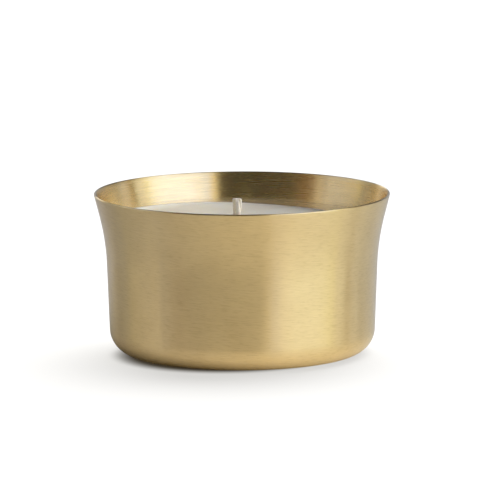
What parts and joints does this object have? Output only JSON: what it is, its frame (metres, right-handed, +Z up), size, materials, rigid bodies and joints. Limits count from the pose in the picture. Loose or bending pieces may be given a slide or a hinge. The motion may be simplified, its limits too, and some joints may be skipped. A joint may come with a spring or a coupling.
{
  "type": "candle tin",
  "caption": "Round candle in a low spun brass cup with a softly flared rim, filled with white wax round a plaited cotton wick.",
  "frame": {"origin": "centre of the ring that the tin stands on, at table height", "axes": "+Z up along the tin's axis, out of its mouth; -X is the side that the wick leans off centre to; -Y faces the viewer"},
  "size_m": [0.08, 0.08, 0.0436],
  "materials": {
    "brass": "satin",
    "wax": "satin",
    "wick_cotton": "matte",
    "tinned_steel": "satin",
    "foam": "matte"
  },
  "bodies": {
    "root": {"tin_body": "brass", "wax_fill": "wax", "wick_strand_1": "wick_cotton", "wick_strand_2": "wick_cotton", "wick_strand_3": "wick_cotton", "wick_sustainer": "tinned_steel", "wick_sticker": "foam"}
  },
  "joints": []
}
